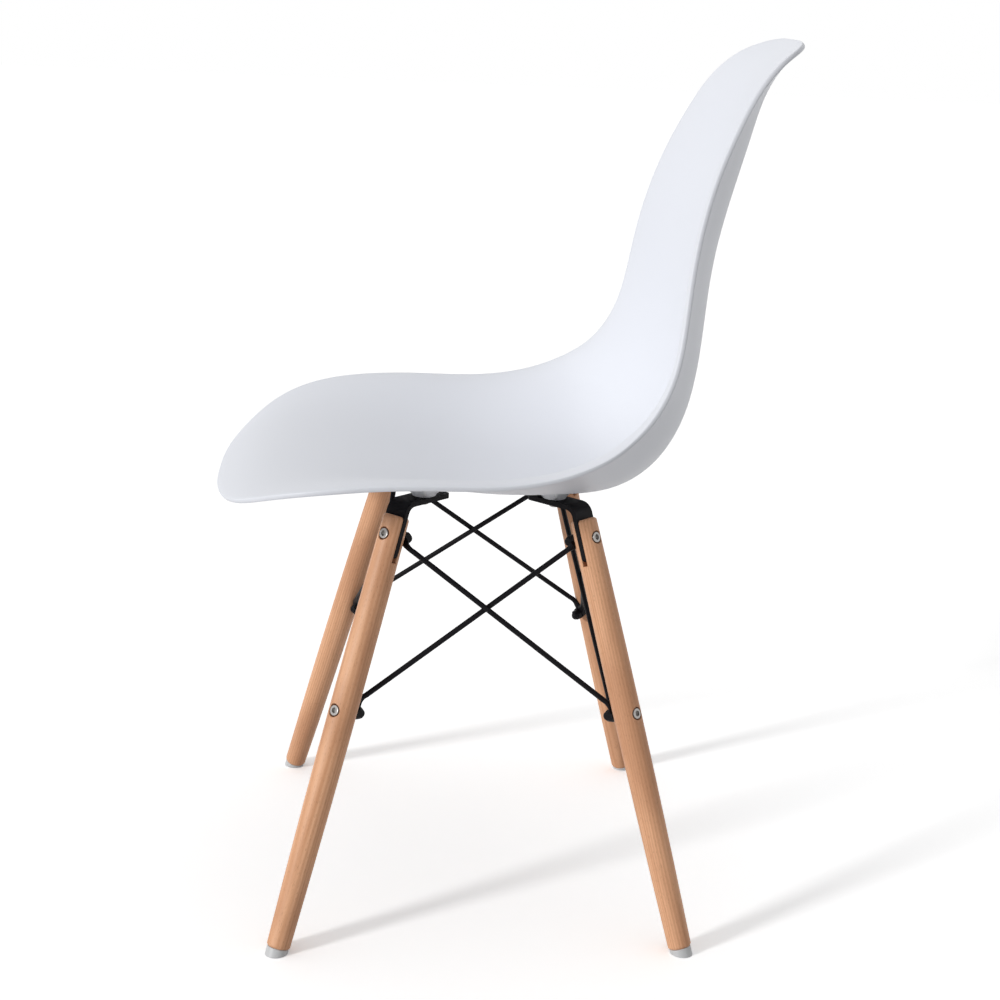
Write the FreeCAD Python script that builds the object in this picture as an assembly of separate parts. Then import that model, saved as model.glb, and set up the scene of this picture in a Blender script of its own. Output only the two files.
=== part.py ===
import FreeCAD, Part
import math
import os

# Dining chair with a one-piece moulded shell on four splayed beech legs.
# Each leg is slotted over a steel bracket under the shell, and four crossed
# pairs of wire braces tie the legs to each other.
# Lengths are in millimetres. +Z is up, the sitter faces -Y and +X is the
# sitter's left. The origin is on the floor, in the middle of the chair's box.

V = FreeCAD.Vector

# Shell: the middle line of the sitter's side, from the front edge to the top (y, z)
CENTRE_LINE = [
    (-251.5, 396.5), (-228.0, 409.0), (-172.0, 420.0), (-75.5, 413.0), (-4.0, 403.0),
    (63.5, 400.5), (112.0, 405.0), (150.0, 424.5), (183.0, 472.5), (194.5, 540.5),
    (201.0, 611.0), (229.0, 729.0), (253.0, 797.0), (270.0, 815.5),
]
# Half width, and the rise of the sides above the middle line, at shares of that line
SHARES = [0.0, 0.12, 0.25, 0.38, 0.48, 0.58, 0.70, 0.85, 1.0]
HALF_WIDTHS = [219.5, 230.5, 232.0, 225.0, 215.0, 203.0, 181.0, 143.5, 126.5]
SIDE_RISES = [-5.0, 15.5, 35.0, 55.0, 72.5, 62.0, 42.5, 38.5, 4.5]
RISE_REACH = 50.0        # half the length of line whose run sets the rise's direction, at mid line
SEAT_HOLLOW = 3.4        # power of the rise across the seat: higher is flatter in the middle
BACK_HOLLOW = 2.0        # the same across the back
SEAT_LIP = 1.07          # how far the seat's edges roll outwards again, as a share of the rise
BACK_LIP = 0.41          # the same for the back's edges
LIP_POWER = 8.0          # power of that roll: higher keeps it nearer the edge
SEAT_END = 0.42          # share of the middle line where the seat's section starts to turn
TURN_SHARE = 0.20        # share of the middle line in which it becomes the back's
FRONT_CORNER = 136.0     # length of the front corners along the middle line
FRONT_ROUND = 2.55       # power of their outline: 2 is an ellipse, higher is squarer
TOP_CORNER = 184.0       # length of the top corners along the middle line
TOP_ROUND = 3.25         # power of their outline
WALL = 4.5               # thickness of the moulded wall
RIM_BULGE = 0.45         # how far the rim is rounded, as a share of half the wall

# Shell: bosses moulded under the seat
BOSS_R = 11.0            # radius where a boss meets its bracket
BOSS_DRAFT = 3.0         # draft of its side, in degrees
GUSSET_COUNT = 4
GUSSET_REACH = 8.0       # how far a gusset stands out from its boss
GUSSET_T = 2.5
GUSSET_DROP = 1.0        # how far a gusset stops above the boss's face

# Legs: turned beech, on one axis from the foot on the floor to the top
FOOT_X = 209.0
FOOT_Y = 184.0
TOP_X = 112.0
TOP_Y = 85.0
LEG_TOP_Z = 383.0
LEG_FOOT_R = 10.75
LEG_BELLY_R = 12.9
LEG_BELLY_SHARE = 0.52   # share of the leg's length, from the foot, where it is thickest
LEG_TOP_R = 12.0
LEG_TOP_ROUND = 3.0
LEG_FOOT_ROUND = 2.5
SLOT_DEPTH = 42.0
SLOT_GAP = 0.25          # clearance on each side of the bracket's tab
WOOD_EASE = 0.5          # chamfer where the slot and the bolt holes come out of the wood

# Foot glides: a plastic disc under each leg, cut flat where it stands, and its nail
GLIDE_R = 10.0
GLIDE_T = 5.6            # from the floor to the leg's end, along the leg's axis
GLIDE_TOP_ROUND = 0.8
NAIL_R = 1.25
NAIL_L = 20.0
NAIL_HEAD_R = 3.5
NAIL_HEAD_T = 1.0
NAIL_SINK = 0.8          # how far the nail's head stands up from the floor

# Brackets: flat steel bar, bent from the plate under the shell into the leg's slot
BAR_W = 24.0
BAR_T = 4.5
PLATE_TOP_Z = 396.4
PLATE_REACH = 58.0       # plate's inner end, inwards from the leg's top
PLATE_SCREW = 35.0       # its screw, inwards from the leg's top
BEND_R = 8.0             # inside radius of the bend
BAR_CORNER = 4.0
TAB_CLEAR = 4.0          # from the tab's end to the slot's bottom

# Fasteners
BOLT_R = 3.0
BOLT_HOLE_GAP = 0.2
BOLT_HEAD_R = 5.0
BOLT_HEAD_T = 4.5
BOLT_HEAD_ROUND = 0.8
HEX_SOCKET_AF = 5.0
HEX_SOCKET_DEPTH = 2.6
HEAD_SINK = 1.0          # how far a head lies below the leg's surface
COUNTERBORE_GAP = 1.1
UPPER_BOLT = 18.0        # along the leg's axis, from its top
LOWER_BOLT_Z = 211.0     # height of the lower bolt at the leg's axis
NUT_AF = 10.0
NUT_T = 4.5
NUT_DOME_R = 4.4
NUT_DEPTH = 6.4          # depth of the nut's threaded hole
SEAT_SCREW_HEAD_R = 5.5
SEAT_SCREW_HEAD_T = 3.3
SEAT_SCREW_HEAD_RIM = 0.7
SEAT_SCREW_L = 11.0
WASHER_R = 7.0
WASHER_T = 1.2
INSERT_R = 4.5
INSERT_L = 5.6
INSERT_FLANGE_R = 5.4
INSERT_FLANGE_T = 0.8
FIT = 0.05               # play between a fastener and what it is pressed or screwed into

# Braces: round wire with a flattened eye at each end
WIRE_R = 2.5
EYE_R = 6.0
EYE_T = 2.5
EYE_GAP = 0.2            # between the leg, the two eyes and the nut
FLAT_L = 7.8             # from the eye's centre to where the end stops being flat
NECK_L = 15.0            # from the eye's centre to where the wire turns to the other end
NECK_W = 8.0
NECK_LEAD = 5.0          # length over which the neck bends into the wire
CROSS_GAP = 0.3          # between the two wires where they cross
OUTER_SHIFT = 0.7        # how far the outer wire runs inwards of its eyes, to clear the legs

# Sampling of the shell's skin
SIDE_RIM_STEPS = 18
END_RIM_STEPS = 10
RING_STEPS = 6
ROUND_STEPS = 4
CORE_SHARE = 0.5         # half width of the skin's middle patch, as a share of the whole
CORE_START = 0.22        # that patch's ends, as shares of the middle line
CORE_END = 0.80
FRONT_SPLIT = 0.83       # where the front edge passes into the side, as a share of the width
TOP_SPLIT = 0.86
NORMAL_STEP = 0.5
TANGENT_STEP = 0.005
SEW_TOLERANCE = 0.002

CORNERS = {
    "front_left": (1, -1),
    "rear_left": (1, 1),
    "front_right": (-1, -1),
    "rear_right": (-1, 1),
}


def natural_spline(stations, values):
    """Smooth curve through values at stations, with no curvature at its two ends."""
    count = len(stations)
    gaps = [b - a for a, b in zip(stations, stations[1:])]
    slopes = [(b - a) / gap for a, b, gap in zip(values, values[1:], gaps)]
    factors = [0.0] * count
    bends = [0.0] * count
    for i in range(1, count - 1):
        pivot = 2.0 * (gaps[i - 1] + gaps[i]) - gaps[i - 1] * factors[i - 1]
        factors[i] = gaps[i] / pivot
        bends[i] = (6.0 * (slopes[i] - slopes[i - 1]) - gaps[i - 1] * bends[i - 1]) / pivot
    for i in range(count - 2, 0, -1):
        bends[i] -= factors[i] * bends[i + 1]

    def value(at):
        i = 0
        while i < count - 2 and at > stations[i + 1]:
            i += 1
        gap = gaps[i]
        left = (stations[i + 1] - at) / gap
        right = (at - stations[i]) / gap
        curved = (left ** 3 - left) * bends[i] + (right ** 3 - right) * bends[i + 1]
        return left * values[i] + right * values[i + 1] + curved * gap * gap / 6.0

    return value


def along_the_middle():
    """The middle line as two curves over the distance along its points, and its length."""
    along = [0.0]
    for (y0, z0), (y1, z1) in zip(CENTRE_LINE, CENTRE_LINE[1:]):
        along.append(along[-1] + math.hypot(y1 - y0, z1 - z0))
    line_y = natural_spline(along, [y for y, z in CENTRE_LINE])
    line_z = natural_spline(along, [z for y, z in CENTRE_LINE])
    return line_y, line_z, along[-1]


LINE_Y, LINE_Z, LINE_LENGTH = along_the_middle()
WIDTH_AT = natural_spline([s * LINE_LENGTH for s in SHARES], HALF_WIDTHS)
RISE_AT = natural_spline([s * LINE_LENGTH for s in SHARES], SIDE_RISES)


def skin_point(along, across):
    """Point of the sitter's side: across is 0 on the middle line and 1 at the full half width.

    The sides rise square to a chord of the middle line. Its reach is largest at mid line, where
    the seat bends into the back, so that the risen sides go round that bend without a crease.
    """
    share = along / LINE_LENGTH
    reach = NORMAL_STEP + RISE_REACH * 4.0 * share * (1.0 - share)
    run_y = LINE_Y(along + reach) - LINE_Y(along - reach)
    run_z = LINE_Z(along + reach) - LINE_Z(along - reach)
    run = math.hypot(run_y, run_z)
    turn = min(1.0, max(0.0, (share - SEAT_END) / TURN_SHARE))
    turn = turn * turn * (3.0 - 2.0 * turn)
    hollow = SEAT_HOLLOW + (BACK_HOLLOW - SEAT_HOLLOW) * turn
    lip = SEAT_LIP + (BACK_LIP - SEAT_LIP) * turn
    out = abs(across)
    rise = RISE_AT(along) * ((1.0 + lip) * out ** hollow - lip * out ** LIP_POWER)
    return V(
        across * WIDTH_AT(along),
        LINE_Y(along) - rise * run_z / run,
        LINE_Z(along) + rise * run_y / run,
    )


def skin_normal(along, across):
    """Unit normal of the sitter's side, towards the sitter."""
    step = NORMAL_STEP
    share = step / WIDTH_AT(along)
    forward = skin_point(along + step, across) - skin_point(along - step, across)
    sideways = skin_point(along, across + share) - skin_point(along, across - share)
    return sideways.cross(forward).normalize()


def wall_point(along, across, depth):
    """Point at a depth into the wall from the sitter's side."""
    return skin_point(along, across) - skin_normal(along, across) * depth


def end_edge(corner, power, across):
    """How far the front or top edge lies from the end of the middle line."""
    return corner * (1.0 - (1.0 - abs(across) ** power) ** (1.0 / power))


def front_edge(across):
    return end_edge(FRONT_CORNER, FRONT_ROUND, across), across


def top_edge(across):
    return LINE_LENGTH - end_edge(TOP_CORNER, TOP_ROUND, across), across


def side_edge(along):
    """Share of the half width that the outline reaches at a distance along the middle line."""
    front = max(0.0, 1.0 - along / FRONT_CORNER)
    top = max(0.0, 1.0 - (LINE_LENGTH - along) / TOP_CORNER)
    front_share = (1.0 - front ** FRONT_ROUND) ** (1.0 / FRONT_ROUND)
    top_share = (1.0 - top ** TOP_ROUND) ** (1.0 / TOP_ROUND)
    return front_share * top_share


def left_edge(along):
    return along, side_edge(along)


def right_edge(along):
    return along, -side_edge(along)


def eased(start, end, steps):
    """Stations from start to end, closer together at both ends."""
    half = 0.5 * (end - start)
    return [start + half * (1.0 - math.cos(math.pi * i / steps)) for i in range(steps + 1)]


def even(start, end, steps):
    return [start + (end - start) * i / steps for i in range(steps + 1)]


def smooth_line(points):
    """Curve through points that are taken as evenly spaced."""
    curve = Part.BSplineCurve()
    curve.interpolate(Points=points, Parameters=[float(i) for i in range(len(points))])
    return curve


def smooth_face(grid):
    """Face through a grid of points. Faces that share a row of points share that edge."""
    rows = [smooth_line(row) for row in grid]
    columns = [smooth_line(list(column)) for column in zip(*[row.getPoles() for row in rows])]
    poles = [list(row) for row in zip(*[column.getPoles() for column in columns])]
    surface = Part.BSplineSurface()
    surface.buildFromPolesMultsKnots(
        poles, columns[0].getMultiplicities(), rows[0].getMultiplicities(),
        columns[0].getKnots(), rows[0].getKnots(), False, False, 3, 3,
    )
    return surface.toShape()


def rim_section(edge, at):
    """Points round the rim, from the sitter's side to the underside."""
    along, across = edge(at)
    step = TANGENT_STEP if edge in (left_edge, right_edge) else TANGENT_STEP / HALF_WIDTHS[0]
    tangent = skin_point(*edge(at + step)) - skin_point(*edge(at - step))
    normal = skin_normal(along, across)
    outward = tangent.cross(normal).normalize()
    middle = wall_point(along, across, 0.5 * WALL)
    if outward.dot(middle - skin_point(0.5 * LINE_LENGTH, 0.0)) < 0.0:
        outward = outward * -1.0
    points = []
    for i in range(ROUND_STEPS + 1):
        angle = math.pi * i / ROUND_STEPS
        up = normal * (0.5 * WALL * math.cos(angle))
        points.append(middle + up + outward * (0.5 * WALL * RIM_BULGE * math.sin(angle)))
    return points


def skin_patches():
    """The four stretches of the rim: its edge, the stations on it, and the middle patch's side."""
    core_from = CORE_START * LINE_LENGTH
    core_to = CORE_END * LINE_LENGTH
    front_at = front_edge(FRONT_SPLIT)[0]
    top_at = top_edge(TOP_SPLIT)[0]
    core_along = eased(core_from, core_to, SIDE_RIM_STEPS)
    core_across = even(-CORE_SHARE, CORE_SHARE, END_RIM_STEPS)
    side_stations = eased(front_at, top_at, SIDE_RIM_STEPS)
    stretches = [
        (front_edge, even(-FRONT_SPLIT, FRONT_SPLIT, END_RIM_STEPS),
         [(core_from, across) for across in core_across]),
        (left_edge, side_stations, [(along, CORE_SHARE) for along in core_along]),
        (top_edge, even(-TOP_SPLIT, TOP_SPLIT, END_RIM_STEPS),
         [(core_to, across) for across in core_across]),
        (right_edge, side_stations, [(along, -CORE_SHARE) for along in core_along]),
    ]
    return stretches, core_along, core_across


def moulded_wall():
    """The shell's wall: two smooth skins a wall apart, closed by the rounded rim."""
    stretches, core_along, core_across = skin_patches()
    faces = []
    for depth in (0.0, WALL):
        core = [[wall_point(a, c, depth) for c in core_across] for a in core_along]
        faces.append(smooth_face(core))
        for edge, stations, inner in stretches:
            ring = []
            for at, (core_a, core_c) in zip(stations, inner):
                rim_a, rim_c = edge(at)
                shares = even(0.0, 1.0, RING_STEPS)
                ring.append([
                    wall_point(core_a + (rim_a - core_a) * s, core_c + (rim_c - core_c) * s, depth)
                    for s in shares
                ])
            faces.append(smooth_face(ring))
    for edge, stations, inner in stretches:
        faces.append(smooth_face([rim_section(edge, at) for at in stations]))
    skin = Part.makeShell(faces)
    skin.sewShape(SEW_TOLERANCE)
    return skin


def seat_bosses(wall):
    """The bosses and gussets under the seat, trimmed where they meet the wall."""
    tall = max(SIDE_RISES)
    spread = math.tan(math.radians(BOSS_DRAFT)) * tall
    reach = BOSS_R + GUSSET_REACH
    low = PLATE_TOP_Z + GUSSET_DROP
    bosses = []
    for corner in CORNERS:
        foot = boss_point(corner)
        blank = Part.makeCone(BOSS_R, BOSS_R + spread, tall, foot)
        outline = Part.makePolygon([
            V(0.0, -0.5 * GUSSET_T, low),
            V(BOSS_R, -0.5 * GUSSET_T, low),
            V(reach, -0.5 * GUSSET_T, low + GUSSET_REACH),
            V(reach, -0.5 * GUSSET_T, PLATE_TOP_Z + tall),
            V(0.0, -0.5 * GUSSET_T, PLATE_TOP_Z + tall),
            V(0.0, -0.5 * GUSSET_T, low),
        ])
        gusset = Part.Face(outline).extrude(V(0.0, GUSSET_T, 0.0))
        for i in range(GUSSET_COUNT):
            rib = gusset.copy()
            rib.rotate(V(0.0, 0.0, 0.0), V(0.0, 0.0, 1.0), 360.0 * i / GUSSET_COUNT)
            rib.translate(V(foot.x, foot.y, 0.0))
            blank = blank.fuse(rib)
        below = min(blank.cut(wall).Solids, key=lambda solid: solid.CenterOfMass.z)
        bosses.append(below)
    return bosses


def seat_shell():
    """The moulded shell, with its bosses and the holes for their inserts."""
    wall = Part.Solid(moulded_wall())
    shell = wall.fuse(seat_bosses(wall))
    for corner in CORNERS:
        foot = boss_point(corner)
        depth = INSERT_L + FIT
        shell = shell.cut(Part.makeCylinder(INSERT_R + FIT, depth, foot))
        shell = shell.cut(Part.makeCylinder(INSERT_FLANGE_R + FIT, INSERT_FLANGE_T + FIT, foot))
    return shell.Solids[0]


def corner_lines(corner):
    """A leg's foot and top on its axis, and the level direction out from the seat to it."""
    side, end = CORNERS[corner]
    foot = V(side * FOOT_X, end * FOOT_Y, 0.0)
    top = V(side * TOP_X, end * TOP_Y, LEG_TOP_Z)
    outward = V(foot.x - top.x, foot.y - top.y, 0.0).normalize()
    return foot, top, outward


LEG_LENGTH = (V(TOP_X, TOP_Y, LEG_TOP_Z) - V(FOOT_X, FOOT_Y, 0.0)).Length
SPLAY = math.acos(LEG_TOP_Z / LEG_LENGTH)
UPPER_BOLT_AT = LEG_LENGTH - UPPER_BOLT
LOWER_BOLT_AT = LOWER_BOLT_Z / math.cos(SPLAY)
EYE_PITCH = EYE_T + EYE_GAP
BOLT_HOLE_R = BOLT_R + BOLT_HOLE_GAP


def placed(shape, origin, out, up):
    """The shape with its X turned to out, its Z to up and its origin to a point."""
    side = up.cross(out)
    matrix = FreeCAD.Matrix(
        out.x, side.x, up.x, origin.x,
        out.y, side.y, up.y, origin.y,
        out.z, side.z, up.z, origin.z,
        0.0, 0.0, 0.0, 1.0,
    )
    moved = shape.copy()
    moved.Placement = FreeCAD.Placement(matrix).multiply(moved.Placement)
    return moved


def leg_directions(corner):
    """A leg's direction up its axis, and the direction of its bolts, out and square to it."""
    foot, top, outward = corner_lines(corner)
    up = (top - foot).normalize()
    out = (outward - up * outward.dot(up)).normalize()
    return up, out


def on_leg(shape, corner):
    """Places a shape that is drawn up a leg's axis from the floor, with its bolts along X."""
    up, out = leg_directions(corner)
    return placed(shape, corner_lines(corner)[0], out, up)


def under_seat(shape, corner):
    """Places a shape that is drawn below a leg's top, with X level and away from the seat."""
    foot, top, outward = corner_lines(corner)
    return placed(shape, V(top.x, top.y, 0.0), outward, V(0.0, 0.0, 1.0))


def boss_point(corner):
    """Where a bracket's screw meets the shell."""
    foot, top, outward = corner_lines(corner)
    return V(top.x, top.y, PLATE_TOP_Z) - outward * PLATE_SCREW


def leg_radius(at):
    """The leg's radius at a distance up its axis: an even swell through three radii."""
    share = (at - GLIDE_T) / (LEG_LENGTH - GLIDE_T)
    belly = LEG_BELLY_SHARE
    foot_part = LEG_FOOT_R * (share - belly) * (share - 1.0) / belly
    belly_part = LEG_BELLY_R * share * (share - 1.0) / (belly * (belly - 1.0))
    top_part = LEG_TOP_R * share * (share - belly) / (1.0 - belly)
    return foot_part + belly_part + top_part


def edges_at(shape, test):
    """The edges whose every corner passes a test."""
    return [edge for edge in shape.Edges if all(test(v.Point) for v in edge.Vertexes)]


def cut_edges(body):
    """The edges where the slot, the holes and the counterbores cut a leg's turned skin."""
    found = []
    for edge in body.Edges:
        kinds = [type(face.Surface) for face in body.ancestorsOfType(edge, Part.Face)]
        if Part.SurfaceOfRevolution in kinds and (Part.Plane in kinds or Part.Cylinder in kinds):
            found.append(edge)
    return found


def head_seat(at):
    """How far from the axis a leg bolt's head sits, at a distance up the leg."""
    return leg_radius(at) - HEAD_SINK - BOLT_HEAD_T


def leg():
    """Turned leg with its slot, its two bolt holes and their counterbores, and the nail's hole."""
    middle = 0.5 * (GLIDE_T + LEG_LENGTH)
    bow = 2.0 * leg_radius(middle) - 0.5 * (LEG_FOOT_R + LEG_TOP_R)
    side = Part.BezierCurve()
    side.setPoles([V(LEG_FOOT_R, 0.0, GLIDE_T), V(bow, 0.0, middle), V(LEG_TOP_R, 0.0, LEG_LENGTH)])
    ends = Part.makePolygon([
        V(LEG_TOP_R, 0.0, LEG_LENGTH), V(0.0, 0.0, LEG_LENGTH),
        V(0.0, 0.0, GLIDE_T), V(LEG_FOOT_R, 0.0, GLIDE_T),
    ])
    profile = Part.Face(Part.Wire([side.toShape()] + ends.Edges))
    body = profile.revolve(V(0.0, 0.0, 0.0), V(0.0, 0.0, 1.0), 360.0)
    tops = [e for e in body.Edges if abs(e.BoundBox.ZMin - LEG_LENGTH) < FIT]
    body = body.makeFillet(LEG_TOP_ROUND, [e for e in tops if e.Length > LEG_TOP_R * math.pi])
    feet = [e for e in body.Edges if abs(e.BoundBox.ZMax - GLIDE_T) < FIT]
    body = body.makeFillet(LEG_FOOT_ROUND, [e for e in feet if e.Length > LEG_FOOT_R * math.pi])
    slot_w = BAR_T + 2.0 * SLOT_GAP
    wide = 4.0 * LEG_TOP_R
    corner = V(-0.5 * slot_w, -0.5 * wide, LEG_LENGTH - SLOT_DEPTH)
    body = body.cut(Part.makeBox(slot_w, wide, SLOT_DEPTH + LEG_TOP_R, corner))
    for at in (UPPER_BOLT_AT, LOWER_BOLT_AT):
        hole = Part.makeCylinder(BOLT_HOLE_R, wide, V(-0.5 * wide, 0.0, at), V(1.0, 0.0, 0.0))
        bore_r = BOLT_HEAD_R + COUNTERBORE_GAP
        bore = Part.makeCylinder(bore_r, wide, V(head_seat(at), 0.0, at), V(1.0, 0.0, 0.0))
        body = body.cut(hole).cut(bore)
    body = body.makeChamfer(WOOD_EASE, cut_edges(body))
    nail_hole = Part.makeCylinder(NAIL_R + FIT, nail_start() + NAIL_L + FIT)
    return body.cut(nail_hole).Solids[0]


def hexagon(across_flats, length, origin, direction):
    """Solid six-sided bar from a point along a direction."""
    radius = across_flats / math.sqrt(3.0)
    points = [
        V(radius * math.cos(math.radians(60.0 * i)), radius * math.sin(math.radians(60.0 * i)), 0.0)
        for i in range(7)
    ]
    bar = Part.Face(Part.makePolygon(points)).extrude(V(0.0, 0.0, length))
    bar.Placement = FreeCAD.Placement(origin, FreeCAD.Rotation(V(0.0, 0.0, 1.0), direction))
    return bar


def nut_seat(at):
    """How far inwards from the axis the nut sits, past the leg and the two eyes."""
    return leg_radius(at) + 2.0 * EYE_PITCH + EYE_GAP


def leg_bolt(at):
    """Socket-head bolt across the leg, with its head in the counterbore."""
    outward = V(1.0, 0.0, 0.0)
    seat = head_seat(at) + FIT
    head = Part.makeCylinder(BOLT_HEAD_R, BOLT_HEAD_T, V(seat, 0.0, at), outward)
    face = seat + BOLT_HEAD_T
    head = head.makeFillet(BOLT_HEAD_ROUND, edges_at(head, lambda p: abs(p.x - face) < FIT)[:1])
    length = seat + nut_seat(at) + NUT_DEPTH - EYE_GAP
    shank = Part.makeCylinder(BOLT_R, length, V(seat, 0.0, at), outward * -1.0)
    socket = hexagon(HEX_SOCKET_AF, HEX_SOCKET_DEPTH, V(face, 0.0, at), outward * -1.0)
    return head.fuse(shank).cut(socket).Solids[0]


def cap_nut(at):
    """Domed nut on the inner end of a leg bolt."""
    inward = V(-1.0, 0.0, 0.0)
    seat = V(-nut_seat(at), 0.0, at)
    body = hexagon(NUT_AF, NUT_T, seat, inward)
    bevel_r = NUT_AF / math.sqrt(3.0)
    bevel = Part.makeCone(bevel_r + NUT_T, 0.5 * NUT_AF, NUT_T, seat, inward)
    dome = Part.makeSphere(NUT_DOME_R, seat + inward * NUT_T)
    thread = Part.makeCylinder(BOLT_R + FIT, NUT_DEPTH, seat, inward)
    trim = Part.makeCylinder(NUT_AF, NUT_AF, seat, inward)
    return body.common(bevel).fuse(dome).common(trim).cut(thread).Solids[0]


def nail_start():
    """Where the glide's nail head starts, up the leg's axis, clear of the floor."""
    return (NAIL_SINK + NAIL_HEAD_R * math.sin(SPLAY)) / math.cos(SPLAY)


def glide_nail():
    """Nail up into the leg, with its head let into the glide."""
    head = Part.makeCylinder(NAIL_HEAD_R, NAIL_HEAD_T, V(0.0, 0.0, nail_start()))
    shank = Part.makeCylinder(NAIL_R, NAIL_L, V(0.0, 0.0, nail_start()))
    return head.fuse(shank).Solids[0]


def glide(corner):
    """Plastic disc under a leg, trimmed level with the floor."""
    disc = Part.makeCylinder(GLIDE_R, 2.0 * GLIDE_T, V(0.0, 0.0, -GLIDE_T))
    disc = disc.makeFillet(GLIDE_TOP_ROUND, edges_at(disc, lambda p: p.z > 0.0)[:1])
    recess = Part.makeCylinder(NAIL_HEAD_R + FIT, 2.0 * GLIDE_T, V(0.0, 0.0, -GLIDE_T))
    lift = nail_start() + NAIL_HEAD_T + FIT - GLIDE_T
    recess.translate(V(0.0, 0.0, lift))
    shank_hole = Part.makeCylinder(NAIL_R + FIT, GLIDE_T)
    disc = on_leg(disc.cut(recess).cut(shank_hole), corner)
    wide = 6.0 * GLIDE_R
    foot = corner_lines(corner)[0]
    above = Part.makeBox(wide, wide, wide, V(foot.x - 0.5 * wide, foot.y - 0.5 * wide, 0.0))
    return disc.common(above).Solids[0]


def bracket():
    """Flat bar from its plate under the shell down into the leg's slot, with its two holes."""
    lean = V(math.sin(SPLAY), 0.0, -math.cos(SPLAY))
    plate_z = PLATE_TOP_Z - 0.5 * BAR_T
    bend = V((LEG_TOP_Z - plate_z) * math.tan(SPLAY), 0.0, plate_z)
    inner_end = V(-PLATE_REACH, 0.0, plate_z)
    tab_end = V(0.0, 0.0, LEG_TOP_Z) + lean * (SLOT_DEPTH - TAB_CLEAR)
    plate_up = V(0.0, 0.0, 0.5 * BAR_T)
    tab_out = V(math.cos(SPLAY), 0.0, math.sin(SPLAY)) * (0.5 * BAR_T)
    mitre = (plate_up + tab_out) / (1.0 + math.sin(SPLAY))
    outline = [
        inner_end + plate_up, bend + mitre, tab_end + tab_out,
        tab_end - tab_out, bend - mitre, inner_end - plate_up, inner_end + plate_up,
    ]
    face = Part.Face(Part.makePolygon(outline))
    face.translate(V(0.0, -0.5 * BAR_W, 0.0))
    bar = face.extrude(V(0.0, BAR_W, 0.0))
    outer = edges_at(bar, lambda p: V(p.x, 0.0, p.z).distanceToPoint(bend + mitre) < FIT)
    bar = bar.makeFillet(BEND_R + BAR_T, outer)
    inner = edges_at(bar, lambda p: V(p.x, 0.0, p.z).distanceToPoint(bend - mitre) < FIT)
    bar = bar.makeFillet(BEND_R, inner)
    ends = edges_at(bar, lambda p: p.x < FIT - PLATE_REACH) + edges_at(
        bar, lambda p: (V(p.x, 0.0, p.z) - tab_end).dot(lean) > -FIT)
    bar = bar.makeFillet(BAR_CORNER, [e for e in ends if e.Length < BAR_W - FIT])
    drill = 4.0 * BAR_T
    hole_z = plate_z - 0.5 * drill
    bar = bar.cut(Part.makeCylinder(BOLT_HOLE_R, drill, V(-PLATE_SCREW, 0.0, hole_z)))
    across = tab_out.normalize()
    hole = V(0.0, 0.0, LEG_TOP_Z) + lean * UPPER_BOLT - across * (0.5 * drill)
    return bar.cut(Part.makeCylinder(BOLT_HOLE_R, drill, hole, across)).Solids[0]


def threaded_insert():
    """Flanged metal insert, drawn up from the boss's face."""
    body = Part.makeCylinder(INSERT_R, INSERT_L)
    flange = Part.makeCylinder(INSERT_FLANGE_R, INSERT_FLANGE_T)
    return body.fuse(flange).cut(Part.makeCylinder(BOLT_R + FIT, INSERT_L)).Solids[0]


def washer():
    """Washer under the plate, drawn down from the boss's face."""
    top = -BAR_T - FIT
    ring = Part.makeCylinder(WASHER_R, WASHER_T, V(0.0, 0.0, top - WASHER_T))
    return ring.cut(Part.makeCylinder(BOLT_HOLE_R, BAR_T, V(0.0, 0.0, top - BAR_T)))


def seat_screw():
    """Button-head screw, drawn from under its washer up into the insert."""
    seat = -BAR_T - WASHER_T - 2.0 * FIT
    rim = seat - SEAT_SCREW_HEAD_RIM
    crown = seat - SEAT_SCREW_HEAD_T
    arc_x = SEAT_SCREW_HEAD_R * math.cos(math.radians(45.0))
    arc_z = rim - (rim - crown) * math.sin(math.radians(45.0))
    dome = Part.Arc(V(SEAT_SCREW_HEAD_R, 0.0, rim), V(arc_x, 0.0, arc_z), V(0.0, 0.0, crown))
    rest = Part.makePolygon([V(0.0, 0.0, crown), V(0.0, 0.0, seat), V(SEAT_SCREW_HEAD_R, 0.0, seat),
                             V(SEAT_SCREW_HEAD_R, 0.0, rim)])
    profile = Part.Face(Part.Wire([dome.toShape()] + rest.Edges))
    head = profile.revolve(V(0.0, 0.0, 0.0), V(0.0, 0.0, 1.0), 360.0)
    socket = hexagon(HEX_SOCKET_AF, HEX_SOCKET_DEPTH, V(0.0, 0.0, crown), V(0.0, 0.0, 1.0))
    shank = Part.makeCylinder(BOLT_R, SEAT_SCREW_L, V(0.0, 0.0, seat))
    return head.cut(socket).fuse(shank).Solids[0]


def eye_centre(corner, at, layer):
    """Middle of a brace's eye on a leg bolt. Layer 0 lies against the leg, layer 1 on that."""
    foot = corner_lines(corner)[0]
    up, out = leg_directions(corner)
    inward = leg_radius(at) + EYE_GAP + 0.5 * EYE_T + layer * EYE_PITCH
    return foot + up * at - out * inward, out


def neck_start(centre, out, target, shift):
    """The way an eye points to the brace's other end, and where its neck meets the wire."""
    aim = target - centre
    along = (aim - out * aim.dot(out)).normalize()
    return along, centre + along * NECK_L + shift


def section(edge, origin, across, normal):
    """A closed section line set square to a direction, its wide way as near across as it goes."""
    normal = normal.normalize()
    level = (across - normal * across.dot(normal)).normalize()
    return Part.Wire(placed(edge, origin, level, normal))


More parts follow.
